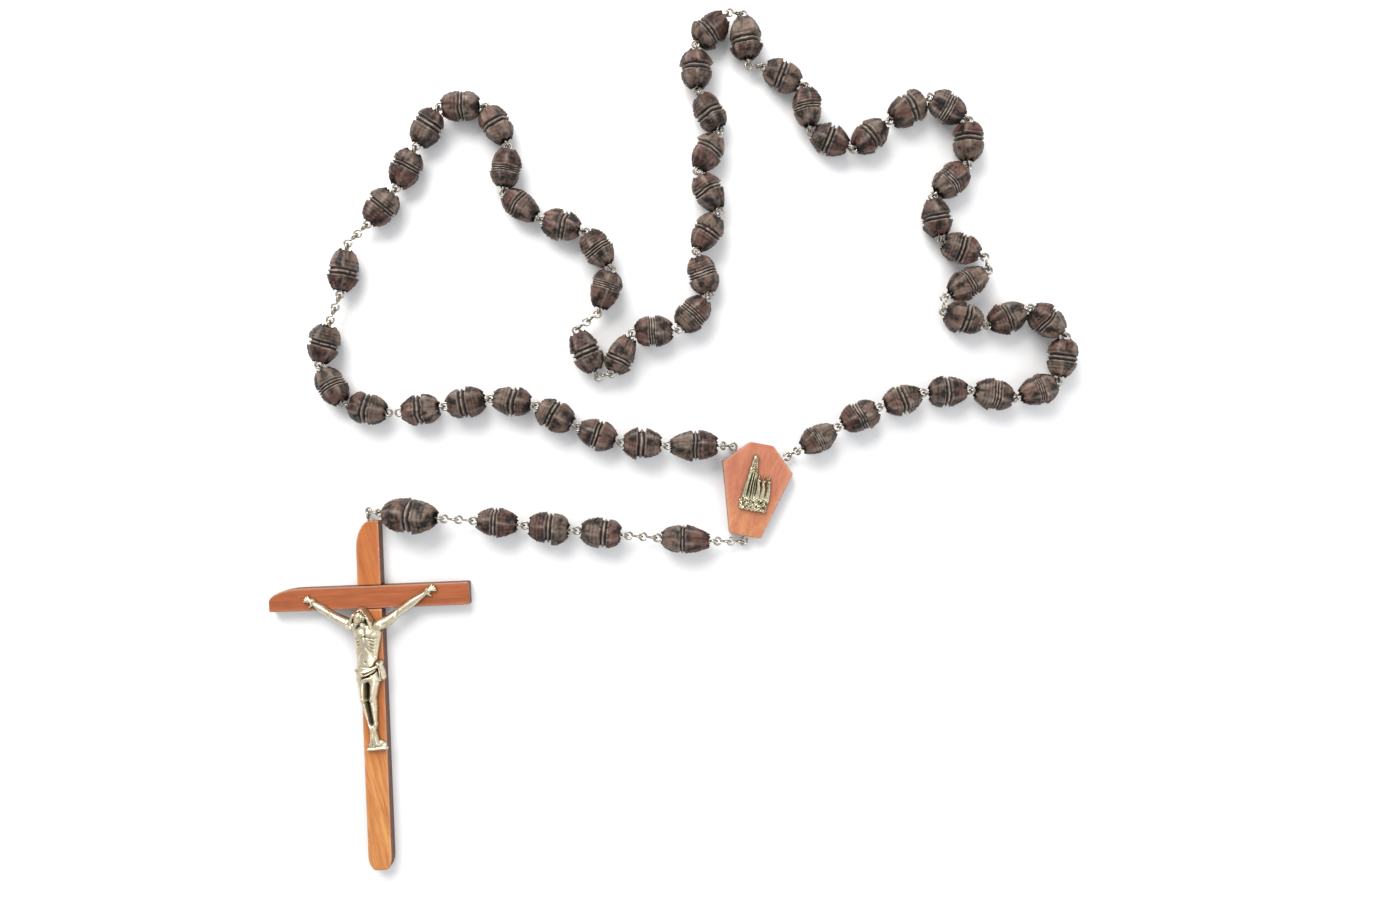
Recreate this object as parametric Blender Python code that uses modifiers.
"""A five-decade rosary laid out flat: carved wooden beads on eye pins, a wooden centre with a cast
relief, and a wooden crucifix with a cast figure.

Metres, +Z up, X to the right and Y away along the table. The beads, the centre and the crucifix
lie on the plane z = 0, and the origin is under the middle of the whole layout.

Every body of the chain hangs on an empty that stands on its pivot, with its local X along the
hinge axis, and each empty is the child of the empty before it. Turning one empty about its X
moves everything further along the chain.
"""

import math
from dataclasses import dataclass

import bmesh
import bpy
import numpy as np
from mathutils import Matrix, Vector

MM = 0.001
UP = Vector((0.0, 0.0, 1.0))

# Wire
WIRE_RADIUS = 0.55 * MM
EYE_RADIUS = 1.75 * MM  # middle of the wire, in every eye
EYE_PLAY = 0.30 * MM  # how far an eye's middle lies behind the wire that passes through it
PIVOT_REACH = 1.45 * MM  # from the upright eye's near wire to the flat eye's far wire
EYE_TURNS = (55.0, 96.7, 138.3, 180.0, 221.7, 263.3, 305.0, 360.0)  # open end to shank, degrees

# Beads: every one is a barrel of two buds with a groove round the middle
BEAD_SIDES = 8
FLAT_RATIO = math.cos(math.pi / BEAD_SIDES)  # a flat side's distance over a corner's
SMALL_LENGTH = 19.4 * MM
SMALL_RADIUS = 7.8 * MM / FLAT_RATIO
FIRST_LENGTH = 24.0 * MM  # the long bead next to the centre
PENDANT_SMALL_LENGTH = 20.5 * MM
LOOP_LARGE_LENGTH = 21.2 * MM
UPPER_LARGE_LENGTH = 24.6 * MM
LOWER_LARGE_LENGTH = 28.0 * MM
LOWER_LARGE_RADIUS = 9.0 * MM / FLAT_RATIO
CROWN_RADIUS = 2.6 * MM  # the small end face of a bead that is fused with its pins
BORE_RADIUS = 1.0 * MM
RECESS_RADIUS = 2.85 * MM  # the hollow end that an eye sits in
RECESS_DEPTH = 1.6 * MM

# Lengths from pivot to pivot
SMALL_PIN = 22.8 * MM
PIN_OVER_BEAD = 4.4 * MM  # how much longer a pin is than the loose bead on it
SINGLE_LINK = 7.0 * MM
DOUBLE_LINK = 13.4 * MM
OPEN_GAP = 4.6 * MM  # the clearance at the pivot where the loop is opened

# Heights above the table
CHAIN_HEIGHT = 7.8 * MM
LOWER_LARGE_HEIGHTS = (11.2 * MM, 7.2 * MM)  # its pin leans towards the crucifix

# Boards
BOARD_THICKNESS = 7.0 * MM
BOARD_MIDDLE = BOARD_THICKNESS / 2
FIT = 0.3 * MM  # the gap left between pieces that touch
SHANK_LENGTH = 6.0 * MM
SHANK_HOLE_RADIUS = 0.95 * MM
EYE_STANDOFF = 2.9 * MM  # from a board's edge to the middle of its screw eye

CENTRE_PLACE = (32.1 * MM, -18.4 * MM)
CENTRE_TURN = math.radians(-10.5)
CENTRE_TOP_HALF = 5.8 * MM
CENTRE_SHOULDER_HALF = 17.6 * MM
CENTRE_FOOT_HALF = 7.9 * MM
CENTRE_TOP = 22.8 * MM
CENTRE_SHOULDER = 11.0 * MM
CENTRE_FOOT = -23.3 * MM

CROSS_PLACE = (-157.1 * MM, -71.5 * MM)  # where the two boards cross
CROSS_TURN = math.radians(2.3)
UPRIGHT_HALF_WIDTH = 5.8 * MM
UPRIGHT_TOP = 37.5 * MM
UPRIGHT_FOOT = -134.8 * MM
CROSSBAR_HALF_HEIGHT = 5.6 * MM
CROSSBAR_LEFT = -49.8 * MM
CROSSBAR_RIGHT = 48.8 * MM
TOP_CORNER = 7.0 * MM
FOOT_CORNER = 4.0 * MM
ARM_CORNER = 5.0 * MM

# Where each bead lies on the table, in millimetres, chosen by hand along the chain's route
DECADES = (
    ((-3, 5), (-29, 0), (-50, 5), (-66, 20), (-86, 30),
     (-109, 25), (-134, 19), (-161, 20), (-179, 32), (-179, 55)),
    ((-151, 121), (-139, 139), (-126, 159), (-109, 171), (-96, 160),
     (-93, 138), (-83, 122), (-60, 113), (-46, 98), (-40, 77)),
    ((-29, 50), (-21, 67), (1, 72), (8, 90), (9, 107),
     (10, 124), (7, 146), (9, 167), (7, 187), (11, 204)),
    ((50, 185), (60, 169), (71, 154), (91, 156), (108, 167),
     (126, 167), (135, 149), (123, 132), (120, 114), (138, 101)),
    ((135, 69), (155, 69), (173, 65), (186, 44), (178, 29),
     (153, 29), (128, 34), (108, 29), (86, 21), (67, 10)),
)
LOOP_LARGE = ((-169, 91), (-47, 50), (29, 201), (142, 84))
LINKS_AT_LARGE = (
    (DOUBLE_LINK, DOUBLE_LINK),
    (DOUBLE_LINK, SINGLE_LINK),
    (SINGLE_LINK, SINGLE_LINK),
    (SINGLE_LINK, SINGLE_LINK),
)
PENDANT_LARGE = ((3, -50), (-130, -33))
PENDANT_SMALL = ((-39, -44), (-62, -35), (-87, -32))

# How many neighbouring beads of each decade share one solid; the loop is opened inside the first
GROUPS = ((3, 4, 3), (2, 3, 3, 2), (2, 3, 3, 2), (2, 3, 3, 2), (2, 3, 3, 2))
BEADS_BEFORE_GAP = 7

LAY_STEPS = 2500
CENTRE_PULL = 0.10
LEAST_SPACING = 17.2 * MM  # between the middles of any two beads
MOST_BEND_BEAD = math.radians(60)  # between two beads
MOST_BEND_LINK = math.radians(78)  # between a bead and a link

# Turning axis of each moving body; the rest lift out of the table's plane
SWINGING = (
    "pendant_large_upper_pin",
    "pendant_small_1_pin",
    "pendant_small_3_pin",
    "pendant_large_lower_pin",
    "decade_1_beads_1_to_3",
    "decade_2_beads_9_to_10",
    "decade_3_beads_1_to_2",
    "decade_5_beads_9_to_10",
)


# ---------------------------------------------------------------- layout


@dataclass
class Segment:
    """One rigid length of the chain, from pivot to pivot."""

    name: str
    kind: str  # link, small, large or gap
    length: float
    wanted: tuple = None  # where its middle lies, in metres
    rise: float = 0.0  # how much higher its far pivot is than its near one


def metres(point):
    return (point[0] * MM, point[1] * MM)


def loop_segments():
    """The loop from the centre's left eye round to its right eye."""
    drop = CHAIN_HEIGHT - BOARD_MIDDLE
    segments = [Segment("loop_link_left", "link", SINGLE_LINK, rise=drop)]
    for number, decade in enumerate(DECADES, start=1):
        for place, point in enumerate(decade, start=1):
            length = SMALL_PIN
            if number == 1 and place == 1:
                length += FIRST_LENGTH - SMALL_LENGTH
            name = f"decade_{number}_bead_{place}"
            segments.append(Segment(name, "small", length, metres(point)))
            if number == 1 and place == BEADS_BEFORE_GAP:
                segments.append(Segment("opened_pivot", "gap", OPEN_GAP))
        if number <= len(LOOP_LARGE):
            before, after = LINKS_AT_LARGE[number - 1]
            pin = LOOP_LARGE_LENGTH + PIN_OVER_BEAD
            segments.append(Segment(f"link_before_large_{number}", "link", before))
            point = metres(LOOP_LARGE[number - 1])
            segments.append(Segment(f"loop_large_{number}", "large", pin, point))
            segments.append(Segment(f"link_after_large_{number}", "link", after))
    segments.append(Segment("loop_link_right", "link", SINGLE_LINK, rise=-drop))
    return segments


def pendant_segments():
    """The pendant from the centre's bottom eye down to the crucifix."""
    high, low = LOWER_LARGE_HEIGHTS
    upper = metres(PENDANT_LARGE[0])
    lower = metres(PENDANT_LARGE[1])
    upper_pin = UPPER_LARGE_LENGTH + PIN_OVER_BEAD
    lower_pin = LOWER_LARGE_LENGTH + PIN_OVER_BEAD
    segments = [
        Segment("pendant_link_top", "link", DOUBLE_LINK, rise=CHAIN_HEIGHT - BOARD_MIDDLE),
        Segment("pendant_large_upper", "large", upper_pin, upper),
        Segment("pendant_link_upper", "link", DOUBLE_LINK),
    ]
    for number, point in enumerate(PENDANT_SMALL, start=1):
        pin = PENDANT_SMALL_LENGTH + PIN_OVER_BEAD
        segments.append(Segment(f"pendant_small_{number}", "small", pin, metres(point)))
    return segments + [
        Segment("pendant_link_lower", "link", DOUBLE_LINK, rise=high - CHAIN_HEIGHT),
        Segment("pendant_large_lower", "large", lower_pin, lower, rise=low - high),
        Segment("pendant_link_crucifix", "link", SINGLE_LINK, rise=BOARD_MIDDLE - low),
    ]


def first_guess(start, end, segments):
    """Joints between the wanted middles, nearer to the shorter of two neighbours."""
    middles = [segment.wanted for segment in segments]
    for k, middle in enumerate(middles):
        if middle is None:
            before = start if k == 0 else middles[k - 1]
            after = next((m for m in middles[k + 1:] if m is not None), end)
            middles[k] = tuple((np.array(before) + np.array(after)) / 2)
    joints = [start]
    for k in range(len(segments) - 1):
        one, two = segments[k].length, segments[k + 1].length
        joints.append((np.array(middles[k]) * two + np.array(middles[k + 1]) * one) / (one + two))
    return np.array(joints + [end], dtype=float)


def shortest_chords(lengths, segments):
    """How near two joints with one joint between them may come, which limits the bend there."""
    loose = np.array([segment.kind in ("link", "gap") for segment in segments])
    bends = np.where(loose[1:] | loose[:-1], MOST_BEND_LINK, MOST_BEND_BEAD)
    one, two = lengths[:-1], lengths[1:]
    return np.sqrt(one**2 + two**2 + 2 * one * two * np.cos(bends))


def push_pairs(points, first, second, wanted, shortest_only, share):
    """Moves each pair of points along the line between them towards its wanted distance."""
    between = points[second] - points[first]
    distance = np.linalg.norm(between, axis=1)
    error = (distance - wanted) / distance
    if shortest_only:
        error = np.minimum(error, 0.0)
    move = between * (error * share)[:, None]
    np.add.at(points, first, move)
    np.add.at(points, second, -move)


def spread_beads(joints, beads):
    """Pushes apart any two beads whose middles are too close, and their four joints with them."""
    middles = (joints[beads] + joints[beads + 1]) / 2
    apart = middles[:, None] - middles[None]
    distance = np.linalg.norm(apart, axis=2) + np.eye(len(beads))
    one, two = np.nonzero(np.triu(distance < LEAST_SPACING, 1))
    for a, b in zip(one, two):
        way = apart[a, b] / distance[a, b]
        move = way * (LEAST_SPACING - distance[a, b]) * 0.25
        joints[beads[a]] += move
        joints[beads[a] + 1] += move
        joints[beads[b]] -= move
        joints[beads[b] + 1] -= move


def lay_chain(start, end, segments):
    """The joints of a chain of rigid segments between two fixed eyes, as it settles on the table.

    Each step restores the segments' lengths, draws each bead towards its wanted middle, and keeps
    the bends and the spacing within what the beads allow.
    """
    rises = np.array([segment.rise for segment in segments])
    lengths = np.array([segment.length for segment in segments]) - PIVOT_REACH
    lengths = np.sqrt(lengths**2 - rises**2) + PIVOT_REACH
    chords = shortest_chords(lengths, segments)
    beads = np.array([k for k, s in enumerate(segments) if s.wanted is not None])
    wanted = np.array([segments[k].wanted for k in beads])
    joints = first_guess(start, end, segments)
    inner = np.arange(len(joints) - 1)
    for step in range(LAY_STEPS):
        pull = CENTRE_PULL * (1.0 - step / LAY_STEPS)
        error = wanted - (joints[beads] + joints[beads + 1]) / 2
        np.add.at(joints, beads, error * pull)
        np.add.at(joints, beads + 1, error * pull)
        spread_beads(joints, beads)
        push_pairs(joints, inner[:-1], inner[:-1] + 2, chords, True, 0.25)
        for _ in range(4):
            push_pairs(joints, inner, inner + 1, lengths, False, 0.25)
            joints[0] = start
            joints[-1] = end
    heights = BOARD_MIDDLE + np.concatenate(([0.0], np.cumsum(rises)))
    return [Vector((x, y, z)) for (x, y), z in zip(joints, heights)]


# ---------------------------------------------------------------- scene and materials


def clear_scene():
    for item in list(bpy.data.objects):
        bpy.data.objects.remove(item, do_unlink=True)
    for group in list(bpy.data.collections):
        bpy.data.collections.remove(group)


def new_collection(name):
    made = bpy.data.collections.new(name)
    bpy.context.scene.collection.children.link(made)
    return made


def new_material(name, colour, roughness, metallic=0.0):
    made = bpy.data.materials.new(name)
    made.use_nodes = True
    shader = made.node_tree.nodes["Principled BSDF"]
    shader.inputs["Base Color"].default_value = (*colour, 1.0)
    shader.inputs["Roughness"].default_value = roughness
    shader.inputs["Metallic"].default_value = metallic
    return made


def build_materials():
    return {
        "bead_wood": new_material("bead_wood", (0.09, 0.05, 0.045), 0.55),
        "large_bead_wood": new_material("large_bead_wood", (0.12, 0.09, 0.08), 0.5),
        "wire": new_material("wire", (0.72, 0.69, 0.62), 0.3, 1.0),
        "upright_wood": new_material("upright_wood", (0.55, 0.24, 0.08), 0.45),
        "crossbar_wood": new_material("crossbar_wood", (0.42, 0.14, 0.05), 0.45),
        "centre_wood": new_material("centre_wood", (0.6, 0.2, 0.09), 0.45),
        "cast_metal": new_material("cast_metal", (0.5, 0.46, 0.36), 0.38, 1.0),
    }


# ---------------------------------------------------------------- mesh helpers


def object_of(name, mesh, collection):
    made = bpy.data.objects.new(name, mesh)
    collection.objects.link(made)
    return made


def mesh_object(name, shape, collection):
    """An object from a bmesh, which is freed."""
    mesh = bpy.data.meshes.new(name)
    shape.to_mesh(mesh)
    shape.free()
    return object_of(name, mesh, collection)


def evaluated_mesh(item):
    """The item's mesh in world space, with its modifiers applied."""
    graph = bpy.context.evaluated_depsgraph_get()
    mesh = bpy.data.meshes.new_from_object(item.evaluated_get(graph))
    mesh.transform(item.matrix_world)
    return mesh


def made_real(item, weld=0.01 * MM):
    """Replaces the item by a plain mesh object in world space, with its loose caps welded."""
    mesh = evaluated_mesh(item)
    shape = bmesh.new()
    shape.from_mesh(mesh)
    bpy.data.meshes.remove(mesh)
    bmesh.ops.remove_doubles(shape, verts=shape.verts, dist=weld)
    name = item.name
    collection = item.users_collection[0]
    bpy.data.objects.remove(item, do_unlink=True)
    return mesh_object(name, shape, collection)


def boolean(item, others, operation):
    """Joins or cuts the item with the others, which are used up."""
    for other in others:
        modifier = item.modifiers.new(operation.lower(), "BOOLEAN")
        modifier.operation = operation
        modifier.solver = "EXACT"
        modifier.object = other
    bpy.context.view_layer.update()
    made = made_real(item, weld=0.001 * MM)
    for other in others:
        bpy.data.objects.remove(other, do_unlink=True)
    return made


def frame_matrix(place, along):
    """Local Z along the chain, X level and across it, Y close to upright."""
    along = along.normalized()
    across = UP.cross(along).normalized()
    turn = Matrix((across, along.cross(across), along)).transposed()
    return Matrix.Translation(place) @ turn.to_4x4()


def wire(name, points, collection):
    """A round wire along straight runs between the points."""
    data = bpy.data.curves.new(name, "CURVE")
    data.dimensions = "3D"
    data.bevel_depth = WIRE_RADIUS
    data.bevel_resolution = 0
    data.use_fill_caps = True
    spline = data.splines.new("POLY")
    spline.points.add(len(points) - 1)
    for knot, point in zip(spline.points, points):
        knot.co = (*point, 1.0)
    item = object_of(name, data, collection)
    bpy.context.view_layer.update()
    return made_real(item)


def eye_points(middle, shank_way, spread_way):
    """An eye's points from its open end round to its shank."""
    points = []
    for degrees in EYE_TURNS:
        angle = math.radians(degrees)
        way = shank_way * math.cos(angle) + spread_way * math.sin(angle)
        points.append(middle + way * EYE_RADIUS)
    return points


def flat_normal(along):
    """The normal of the flat eye that ends a wire."""
    return along.cross(UP.cross(along)).normalized()


def flat_eye(pivot, along):
    """The eye at a wire's far end, which lies flat, from its shank to its open end."""
    across = UP.cross(along).normalized()
    return eye_points(pivot - along * EYE_PLAY, -along, across)[::-1]


class Seat:
    """How a wire's upright eye hangs in the flat eye before it.

    The upright eye's near wire stands at the pivot, inside the flat eye, and swings about the flat
    eye's normal there. Its hole holds the flat eye's far wire at the seat's point, and it lifts
    about that wire.
    """

    def __init__(self, pivot, normal, target):
        self.pivot = pivot
        self.normal = normal
        along = target - pivot
        for _ in range(3):
            level = (along - normal * along.dot(normal)).normalized()
            self.point = pivot + level * PIVOT_REACH
            along = (target - self.point).normalized()
        self.along = along
        self.lift_axis = normal.cross(level).normalized()

    def eye(self):
        """The upright eye's points, from its open end to its shank."""
        spread = (self.normal - self.along * self.normal.dot(self.along)).normalized()
        return eye_points(self.point + self.along * EYE_PLAY, self.along, spread)


def pin(name, seat, joints, collection):
    """One wire from the seat's upright eye through the joints to a flat eye at the last one."""
    before = joints[-2] if len(joints) > 1 else seat.point
    along = (joints[-1] - before).normalized()
    points = seat.eye() + list(joints[:-1]) + flat_eye(joints[-1], along)
    return wire(name, points, collection)


def after_reach(near, far):
    """The point of a straight wire that stands where a seat would be."""
    return near + (far - near).normalized() * PIVOT_REACH


def turned(name, profile, closed, place, along, collection):
    """A turned solid from a profile of (radius, height) pairs that runs down its outer side."""
    shape = bmesh.new()
    knots = [shape.verts.new((radius, 0.0, height)) for radius, height in profile]
    for one, two in zip(knots, knots[1:]):
        shape.edges.new((one, two))
    if closed:
        shape.edges.new((knots[-1], knots[0]))
    item = mesh_object(name, shape, collection)
    screw = item.modifiers.new("turned", "SCREW")
    screw.axis = "Z"
    screw.steps = BEAD_SIDES
    screw.render_steps = BEAD_SIDES
    screw.use_merge_vertices = True
    screw.merge_threshold = 0.01 * MM
    half_side = Matrix.Rotation(math.pi / BEAD_SIDES, 4, "Z")
    item.matrix_world = frame_matrix(place, along) @ half_side
    bpy.context.view_layer.update()
    return made_real(item)


def bud_profile(length, radius, crown):
    """The outer side of a bead from its top crown to its bottom crown."""
    half = length / 2
    top = [(crown, half), (0.62 * radius, 0.84 * half), (radius, 0.24 * half)]
    return top + [(0.9 * radius, 0.0)] + [(r, -h) for r, h in reversed(top)]


def fused_bead(near, far, length, collection):
    """A solid bead, midway between two points of its wire."""
    half = length / 2
    profile = [(0.0, half)] + bud_profile(length, SMALL_RADIUS, CROWN_RADIUS) + [(0.0, -half)]
    return turned("bead", profile, False, (near + far) / 2, far - near, collection)


def bored_bead(name, near, far, length, radius, collection):
    """A loose bead with a bore for its pin and a hollow in each end for the pin's eyes."""
    floor = length / 2 - RECESS_DEPTH
    rim = RECESS_RADIUS
    profile = [(rim, length / 2)] + bud_profile(length, radius, 0.5 * radius)
    profile += [(rim, -length / 2), (rim, -floor), (BORE_RADIUS, -floor)]
    profile += [(BORE_RADIUS, floor), (rim, floor)]
    return turned(name, profile, True, (near + far) / 2, far - near, collection)


# ---------------------------------------------------------------- flat boards


def corner_arc(corner, before, after, radius, steps=5):
    """An outline's points round one corner, which are the corner itself where the radius is 0."""
    corner, before, after = Vector(corner), Vector(before), Vector(after)
    if not radius:
        return [corner]
    one = (before - corner).normalized()
    two = (after - corner).normalized()
    reach = radius / math.tan(one.angle(two) / 2)
    middle = corner + (one + two).normalized() * (radius / math.sin(one.angle(two) / 2))
    start = corner + one * reach - middle
    end = corner + two * reach - middle
    turn = start.angle_signed(end)
    points = []
    for step in range(steps + 1):
        angle = -turn * step / steps
        points.append(middle + Matrix.Rotation(angle, 2) @ start)
    return points


def board(name, outline, corners, place, turn, collection):
    """A flat board from its outline, with a radius at each corner, lying on the table."""
    points = []
    for k, corner in enumerate(outline):
        before, after = outline[k - 1], outline[(k + 1) % len(outline)]
        points += corner_arc(corner, before, after, corners[k])
    data = bpy.data.curves.new(name, "CURVE")
    data.dimensions = "2D"
    data.fill_mode = "BOTH"
    data.extrude = BOARD_THICKNESS / 2
    spline = data.splines.new("POLY")
    spline.points.add(len(points) - 1)
    for knot, (x, y) in zip(spline.points, points):
        knot.co = (x, y, 0.0, 1.0)
    spline.use_cyclic_u = True
    item = object_of(name, data, collection)
    item.matrix_world = board_matrix(place, turn) @ Matrix.Translation((0.0, 0.0, BOARD_MIDDLE))
    bpy.context.view_layer.update()
    return made_real(item)


def board_matrix(place, turn):
    return Matrix.Translation((*place, 0.0)) @ Matrix.Rotation(turn, 4, "Z")


def box(name, low, high, matrix, collection):
    shape = bmesh.new()
    bmesh.ops.create_cube(shape, size=1.0)
    low, high = Vector(low), Vector(high)
    size = Matrix.Diagonal((*(high - low), 1.0))
    bmesh.ops.transform(shape, matrix=matrix @ Matrix.Translation((low + high) / 2) @ size,
                        verts=shape.verts)
    return mesh_object(name, shape, collection)


def shank_hole(edge, outward, cutters):
    """A cutter for the hole that a screw eye's shank stands in."""
    depth = SHANK_LENGTH + 2 * FIT
    shape = bmesh.new()
    bmesh.ops.create_cone(shape, cap_ends=True, segments=8, radius1=SHANK_HOLE_RADIUS,
                          radius2=SHANK_HOLE_RADIUS, depth=2 * depth)
    bmesh.ops.transform(shape, matrix=frame_matrix(edge, outward), verts=shape.verts)
    return mesh_object("shank_hole", shape, cutters)


@dataclass
class EdgeEye:
    """A screw eye in a board's edge: where the edge is, which way it faces, and its pivot."""

    edge: Vector
    outward: Vector

    @property
    def middle(self):
        return self.edge + self.outward * EYE_STANDOFF

    @property
    def shank_tip(self):
        return self.edge - self.outward * SHANK_LENGTH


def centre_outline():
    return [
        (-CENTRE_TOP_HALF, CENTRE_TOP),
        (CENTRE_TOP_HALF, CENTRE_TOP),
        (CENTRE_SHOULDER_HALF, CENTRE_SHOULDER),
        (CENTRE_FOOT_HALF, CENTRE_FOOT),
        (-CENTRE_FOOT_HALF, CENTRE_FOOT),
        (-CENTRE_SHOULDER_HALF, CENTRE_SHOULDER),
    ]


def centre_eyes():
    """The centre's three screw eyes: on its two upper slopes and its foot."""
    matrix = board_matrix(CENTRE_PLACE, CENTRE_TURN)
    slope_x = (CENTRE_TOP_HALF + CENTRE_SHOULDER_HALF) / 2
    slope_y = (CENTRE_TOP + CENTRE_SHOULDER) / 2
    rise = CENTRE_SHOULDER_HALF - CENTRE_TOP_HALF
    fall = CENTRE_TOP - CENTRE_SHOULDER
    eyes = {}
    for name, x, y, way in (
        ("left", -slope_x, slope_y, (-fall, rise)),
        ("right", slope_x, slope_y, (fall, rise)),
        ("bottom", 0.0, CENTRE_FOOT, (0.0, -1.0)),
    ):
        outward = (matrix.to_3x3() @ Vector((*way, 0.0))).normalized()
        eyes[name] = EdgeEye(matrix @ Vector((x, y, BOARD_MIDDLE)), outward)
    return eyes


def crucifix_eye():
    matrix = board_matrix(CROSS_PLACE, CROSS_TURN)
    edge = matrix @ Vector((0.0, UPRIGHT_TOP, BOARD_MIDDLE))
    return EdgeEye(edge, (matrix.to_3x3() @ Vector((0.0, 1.0, 0.0))))


def crucifix_pivot():
    eye = crucifix_eye()
    return eye.middle + eye.outward * EYE_RADIUS


def centre_pivot(eye):
    return eye.middle + eye.outward * EYE_PLAY


# ---------------------------------------------------------------- cast figures


def add_ball(shape, place, radii):
    matrix = Matrix.Translation(place) @ Matrix.Diagonal((*radii, 1.0))
    bmesh.ops.create_uvsphere(shape, u_segments=12, v_segments=8, radius=1.0, matrix=matrix)


def add_limb(shape, start, end, start_radius, end_radius):
    """A tapered limb with round ends."""
    start, end = Vector(start), Vector(end)
    way = end - start
    turn = way.to_track_quat("Z", "Y").to_matrix().to_4x4()
    bmesh.ops.create_cone(shape, cap_ends=True, segments=12, radius1=start_radius,
                          radius2=end_radius, depth=way.length,
                          matrix=Matrix.Translation((start + end) / 2) @ turn)
    add_ball(shape, start, (start_radius,) * 3)
    add_ball(shape, end, (end_radius,) * 3)


def in_mm(*values):
    return tuple(value * MM for value in values)


def cast(name, shape, matrix, voxel, keep, collection, cutters):
    """One smooth casting from the overlapping forms, with a flat back on its board."""
    item = mesh_object(name, shape, collection)
    item.matrix_world = matrix
    remesh = item.modifiers.new("skin", "REMESH")
    remesh.mode = "VOXEL"
    remesh.voxel_size = voxel
    thin = item.modifiers.new("thin", "DECIMATE")
    thin.ratio = keep
    bpy.context.view_layer.update()
    item = made_real(item)
    reach = 0.1
    back = BOARD_THICKNESS + FIT
    block = box("back", (-reach, -reach, back - 0.02), (reach, reach, back), matrix, cutters)
    return boolean(item, [block], "DIFFERENCE")


def corpus_forms():
    """The cast figure: arms raised along the bar, head bowed to its right, legs together."""
    top = BOARD_THICKNESS / MM
    shape = bmesh.new()
    add_ball(shape, in_mm(-4.3, -9.7, top + 5.0), in_mm(2.9, 3.8, 3.2))
    add_limb(shape, in_mm(-3.0, -12.0, top + 3.4), in_mm(-1.7, -16.0, top + 2.6), 1.9 * MM, 3.0 * MM)
    for side, shoulder, elbow, hand in (
        (-1, (-7.5, -13.0), (-18.3, -8.1), (-27.7, -1.6)),
        (1, (5.0, -13.4), (13.5, -7.9), (29.7, 2.3)),
    ):
        add_limb(shape, in_mm(*shoulder, top + 2.6), in_mm(*elbow, top + 1.9), 2.1 * MM, 1.5 * MM)
        add_limb(shape, in_mm(*elbow, top + 1.9), in_mm(*hand, top + 1.3), 1.5 * MM, 1.1 * MM)
        add_ball(shape, in_mm(hand[0] + 0.8 * side, hand[1] + 0.9, top + 1.2), in_mm(1.7, 1.7, 1.1))
    add_limb(shape, in_mm(-1.5, -17.0, top + 2.2), in_mm(-2.1, -30.0, top + 2.0), 5.2 * MM, 3.6 * MM)
    add_ball(shape, in_mm(-1.6, -36.0, top + 2.0), in_mm(5.2, 5.4, 3.8))
    add_ball(shape, in_mm(4.0, -33.5, top + 1.6), in_mm(2.2, 4.6, 2.4))
    for side in (-1, 1):
        hip, knee, ankle = -1.8 + 2.4 * side, -2.0 + 1.7 * side, -0.5 + 1.0 * side
        add_limb(shape, in_mm(hip, -38.0, top + 2.2), in_mm(knee, -50.0, top + 2.6), 2.9 * MM, 2.2 * MM)
        add_limb(shape, in_mm(knee, -50.0, top + 2.6), in_mm(ankle, -63.0, top + 1.6), 2.2 * MM, 1.4 * MM)
    add_limb(shape, in_mm(0.0, -64.0, top + 1.8), in_mm(0.4, -71.0, top + 1.6), 2.1 * MM, 1.8 * MM)
    add_ball(shape, in_mm(0.8, -72.3, top + 0.6), in_mm(3.6, 2.6, 1.6))
    return shape


def relief_forms():
    """The centre's relief: a tall robed figure and three small kneeling ones on a rocky ledge."""
    top = BOARD_THICKNESS / MM
    shape = bmesh.new()
    add_ball(shape, in_mm(-1.7, 15.2, top + 1.3), in_mm(1.7, 2.0, 1.5))
    add_limb(shape, in_mm(-1.7, 12.0, top + 1.0), in_mm(-2.4, -4.0, top + 0.9), 2.2 * MM, 3.6 * MM)
    for x, y in ((2.0, 4.6), (4.4, 4.9), (7.0, 5.0)):
        add_ball(shape, in_mm(x, y, top + 0.9), in_mm(0.95, 1.1, 1.1))
        add_limb(shape, in_mm(x, y - 2.0, top + 0.7), in_mm(x - 0.4, -4.5, top + 0.7), 1.2 * MM, 1.7 * MM)
    add_limb(shape, in_mm(-4.2, -6.4, top + 0.8), in_mm(5.4, -7.0, top + 0.8), 2.2 * MM, 2.2 * MM)
    add_limb(shape, in_mm(-1.4, -9.2, top + 0.7), in_mm(4.2, -9.6, top + 0.7), 1.6 * MM, 1.6 * MM)
    return shape


# ---------------------------------------------------------------- assembly


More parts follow.
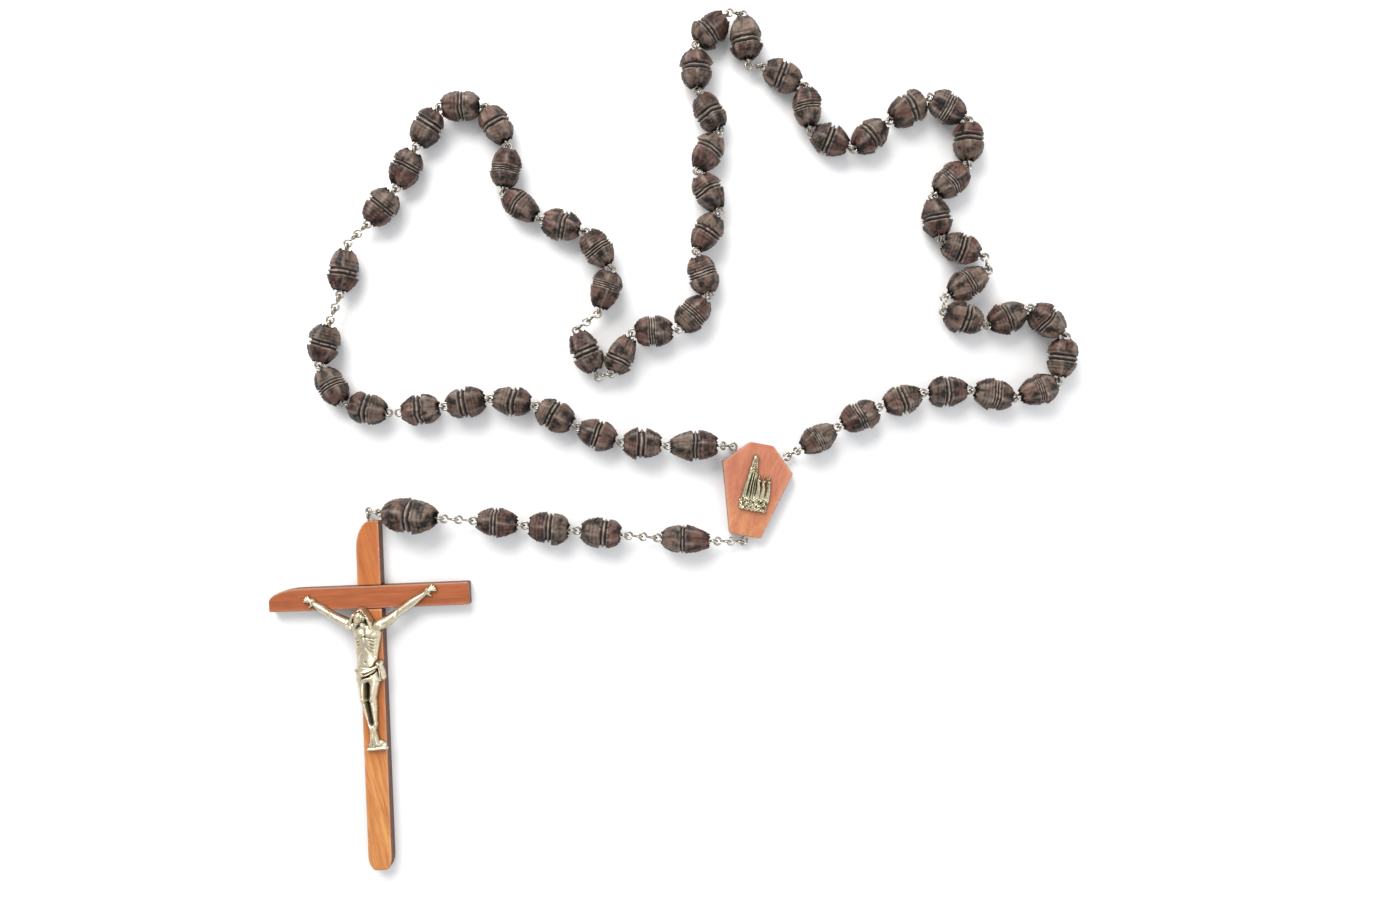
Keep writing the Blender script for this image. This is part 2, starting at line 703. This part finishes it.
class Rosary:
    """Builds the pieces, and hangs each body's pieces on the empty at its pivot."""

    def __init__(self):
        self.pieces = new_collection("rosary")
        self.cutters = new_collection("cutters")
        self.materials = build_materials()
        self.world = {}
        self.root = self.pivot("centre", Vector((0, 0, 0)), Vector((1, 0, 0)), None)

    def pivot(self, body, place, axis, parent):
        """An empty on a hinge, with its local X along the hinge's axis."""
        empty = object_of(f"{body}_pivot", None, self.pieces)
        empty.empty_display_size = 3 * MM
        turn = axis.to_track_quat("X", "Z").to_matrix().to_4x4()
        self.world[empty.name] = Matrix.Translation(place) @ turn
        empty.parent = parent
        before = self.world[parent.name] if parent else Matrix.Identity(4)
        empty.matrix_local = before.inverted() @ self.world[empty.name]
        return empty

    def hang(self, item, pivot, material):
        """Puts a finished piece on a body, with its origin on the body's pivot."""
        item.data.transform(self.world[pivot.name].inverted())
        item.parent = pivot
        item.data.materials.clear()
        item.data.materials.append(self.materials[material])
        item.data.shade_smooth()
        item.data.set_sharp_from_angle(angle=math.radians(35))

    def hinge_at(self, body, seat, parent):
        """The empty of a body that hangs in the eye before it."""
        if body in SWINGING:
            return self.pivot(body, seat.pivot, seat.normal, parent)
        return self.pivot(body, seat.point, seat.lift_axis, parent)

    def add_link(self, segment, seat, far, parent):
        pivot = self.hinge_at(segment.name, seat, parent)
        self.hang(pin(segment.name, seat, [far], self.pieces), pivot, "wire")
        return pivot

    def add_loose_bead(self, segment, seat, far, parent):
        """A pin with its bead loose on it, free to turn about the pin."""
        name = f"{segment.name}_pin"
        pivot = self.hinge_at(name, seat, parent)
        self.hang(pin(name, seat, [far], self.pieces), pivot, "wire")
        name = f"{segment.name}_bead"
        spin = self.pivot(name, (seat.point + far) / 2, seat.along, pivot)
        length = segment.length - PIN_OVER_BEAD
        radius = LOWER_LARGE_RADIUS if segment.rise else SMALL_RADIUS
        bead = bored_bead(name, seat.point, far, length, radius, self.pieces)
        material = "large_bead_wood" if segment.kind == "large" else "bead_wood"
        self.hang(bead, spin, material)
        return pivot

    def add_group(self, name, segments, seat, joints, parent):
        """Neighbouring beads of a decade, fused with their pins into one solid."""
        pivot = self.hinge_at(name, seat, parent)
        solid = pin(name, seat, joints, self.pieces)
        starts = [seat.point] + [after_reach(*pair) for pair in zip(joints, joints[1:])]
        beads = []
        for segment, near, far in zip(segments, starts, joints):
            length = segment.length - SMALL_PIN + SMALL_LENGTH
            beads.append(fused_bead(near, far, length, self.pieces))
        self.hang(boolean(solid, beads, "UNION"), pivot, "bead_wood")
        return pivot

    def add_branch(self, blocks, normal=UP):
        """A run of the chain, as blocks of (name, segments, joints) outwards from the centre.

        Returns its last body's empty and the normal of its last eye.
        """
        parent = self.root
        for name, segments, joints in blocks:
            first = segments[0]
            seat = Seat(joints[0], normal, joints[1])
            if first.kind == "link":
                parent = self.add_link(first, seat, joints[1], parent)
            elif first.kind == "large" or first.name.startswith("pendant"):
                parent = self.add_loose_bead(first, seat, joints[1], parent)
            else:
                parent = self.add_group(name, segments, seat, joints[1:], parent)
            before = joints[-2] if len(joints) > 2 else seat.point
            normal = flat_normal((joints[-1] - before).normalized())
        return parent, normal

    def build_centre(self):
        matrix = board_matrix(CENTRE_PLACE, CENTRE_TURN)
        outline = centre_outline()
        plaque = board("centre_plaque", outline, [0.0] * len(outline), CENTRE_PLACE, CENTRE_TURN,
                       self.pieces)
        eyes = centre_eyes()
        holes = [shank_hole(eye.edge, eye.outward, self.cutters) for eye in eyes.values()]
        self.hang(boolean(plaque, holes, "DIFFERENCE"), self.root, "centre_wood")
        relief = cast("centre_relief", relief_forms(), matrix, 0.7 * MM, 0.35, self.pieces,
                      self.cutters)
        self.hang(relief, self.root, "cast_metal")
        for name, eye in eyes.items():
            points = [eye.shank_tip] + flat_eye(centre_pivot(eye), eye.outward)
            screw_eye = wire(f"centre_screw_eye_{name}", points, self.pieces)
            self.hang(screw_eye, self.root, "wire")

    def build_crucifix(self, parent, normal):
        matrix = board_matrix(CROSS_PLACE, CROSS_TURN)
        eye = crucifix_eye()
        pivot = self.hinge_at("crucifix", Seat(crucifix_pivot(), normal, eye.edge), parent)
        half = UPRIGHT_HALF_WIDTH
        outline = [(-half, UPRIGHT_TOP), (half, UPRIGHT_TOP), (half, UPRIGHT_FOOT), (-half, UPRIGHT_FOOT)]
        corners = [TOP_CORNER, 0.0, FOOT_CORNER, FOOT_CORNER]
        upright = board("crucifix_upright", outline, corners, CROSS_PLACE, CROSS_TURN, self.pieces)
        tall = CROSSBAR_HALF_HEIGHT
        notch = box("notch", (-2 * half, -tall - FIT, BOARD_MIDDLE - FIT / 2),
                    (2 * half, tall + FIT, 2 * BOARD_THICKNESS), matrix, self.cutters)
        hole = shank_hole(eye.edge, eye.outward, self.cutters)
        self.hang(boolean(upright, [notch, hole], "DIFFERENCE"), pivot, "upright_wood")
        outline = [(CROSSBAR_LEFT, tall), (CROSSBAR_RIGHT, tall), (CROSSBAR_RIGHT, -tall),
                   (CROSSBAR_LEFT, -tall)]
        crossbar = board("crucifix_crossbar", outline, [ARM_CORNER, 0.0, 0.0, 0.0], CROSS_PLACE,
                         CROSS_TURN, self.pieces)
        notch = box("notch", (-half - FIT, -2 * tall, -BOARD_THICKNESS),
                    (half + FIT, 2 * tall, BOARD_MIDDLE + FIT / 2), matrix, self.cutters)
        self.hang(boolean(crossbar, [notch], "DIFFERENCE"), pivot, "crossbar_wood")
        points = [eye.shank_tip] + eye_points(eye.middle, -eye.outward, UP)[::-1]
        self.hang(wire("crucifix_screw_eye", points, self.pieces), pivot, "wire")
        figure = cast("corpus", corpus_forms(), matrix, 1.0 * MM, 0.35, self.pieces, self.cutters)
        self.hang(figure, pivot, "cast_metal")

    def build_pendant(self, start):
        segments = pendant_segments()
        joints = lay_chain(start[:2], crucifix_pivot()[:2], segments)
        parent, normal = self.add_branch(group_blocks(segments, joints))
        self.build_crucifix(parent, normal)

    def centre_on_table(self):
        """Moves everything so that the origin is under the middle of the layout's box."""
        bpy.context.view_layer.update()
        corners = []
        for item in self.pieces.objects:
            if item.type == "MESH":
                corners += [item.matrix_world @ vertex.co for vertex in item.data.vertices]
        points = np.array([tuple(corner) for corner in corners])
        low, high = points.min(0), points.max(0)
        self.root.location -= Vector(((low[0] + high[0]) / 2, (low[1] + high[1]) / 2, low[2]))
        bpy.context.view_layer.update()


def group_blocks(segments, joints):
    """Splits the loop into its bodies' blocks, in order, as (name, segments, joints)."""
    blocks = []
    k = 0
    counts = {}
    while k < len(segments):
        segment = segments[k]
        size = 1
        name = segment.name
        if name.startswith("decade"):
            decade = int(name.split("_")[1])
            place = int(name.split("_")[3])
            turn = counts.get(decade, 0)
            counts[decade] = turn + 1
            size = GROUPS[decade - 1][turn]
            name = f"decade_{decade}_beads_{place}_to_{place + size - 1}"
        blocks.append((name, segments[k:k + size], joints[k:k + size + 1]))
        k += size
    return blocks


def reversed_block(block):
    name, segments, joints = block
    return name, segments[::-1], joints[::-1]


def main():
    clear_scene()
    rosary = Rosary()
    rosary.build_centre()
    eyes = {name: centre_pivot(eye) for name, eye in centre_eyes().items()}
    rosary.build_pendant(eyes["bottom"])
    segments = loop_segments()
    joints = lay_chain(eyes["left"][:2], eyes["right"][:2], segments)
    blocks = group_blocks(segments, joints)
    opened = next(k for k, block in enumerate(blocks) if block[1][0].kind == "gap")
    rosary.add_branch(blocks[:opened])
    rosary.add_branch([reversed_block(block) for block in blocks[:opened:-1]])
    rosary.centre_on_table()


main()
